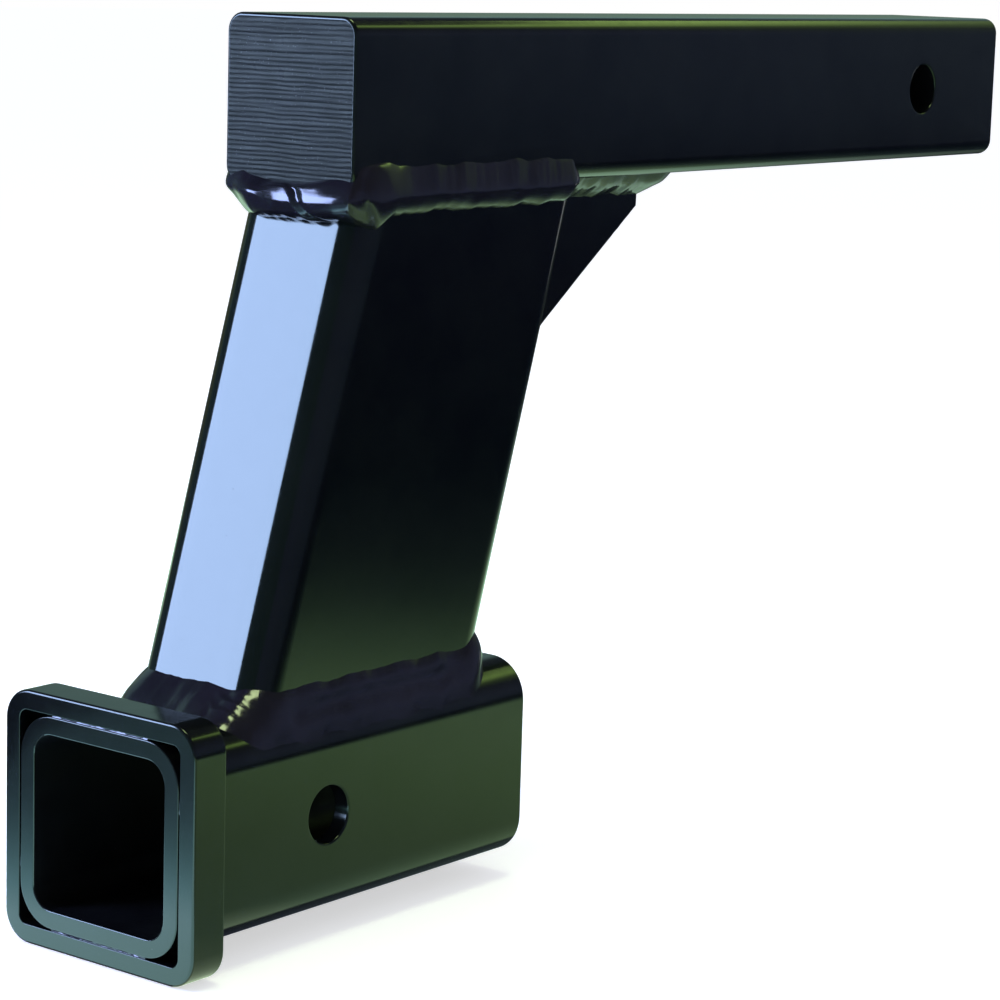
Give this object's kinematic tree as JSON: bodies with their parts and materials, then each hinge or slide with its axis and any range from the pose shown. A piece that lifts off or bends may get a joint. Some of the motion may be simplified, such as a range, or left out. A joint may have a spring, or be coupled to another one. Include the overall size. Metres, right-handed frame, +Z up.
{
  "type": "hitch drop receiver",
  "caption": "Solid square shank with a pin hole, a leaning riser tube below it and a square receiver tube with a mouth collar, welded together and stiffened by a gusset plate.",
  "frame": {"origin": "centre of the shank's pin hole, on the shank's middle line", "axes": "+X along the shank towards its free end, +Y across the part along the pin holes, +Z up from the receiver to the shank"},
  "size_m": [0.4445, 0.0762, 0.2707],
  "materials": {
    "bar_coat": "semi-gloss black coating on steel bar and tube",
    "weld_coat": "gloss black coating over weld beads"
  },
  "bodies": {
    "root": {"shank_bar": "bar_coat", "riser_tube": "bar_coat", "receiver_tube": "bar_coat", "mouth_collar": "bar_coat", "gusset_plate": "bar_coat", "top_front_weld": "weld_coat", "top_near_weld": "weld_coat", "top_far_weld": "weld_coat", "top_rear_near_weld": "weld_coat", "top_rear_far_weld": "weld_coat", "base_front_weld": "weld_coat", "base_near_weld": "weld_coat", "base_rear_weld": "weld_coat", "base_far_weld": "weld_coat", "gusset_shank_near_weld": "weld_coat", "gusset_shank_far_weld": "weld_coat", "gusset_end_weld": "weld_coat", "gusset_riser_near_weld": "weld_coat", "gusset_riser_far_weld": "weld_coat", "collar_top_seam": "weld_coat", "collar_bottom_seam": "weld_coat", "collar_near_tack": "weld_coat", "collar_far_tack": "weld_coat"}
  },
  "joints": []
}
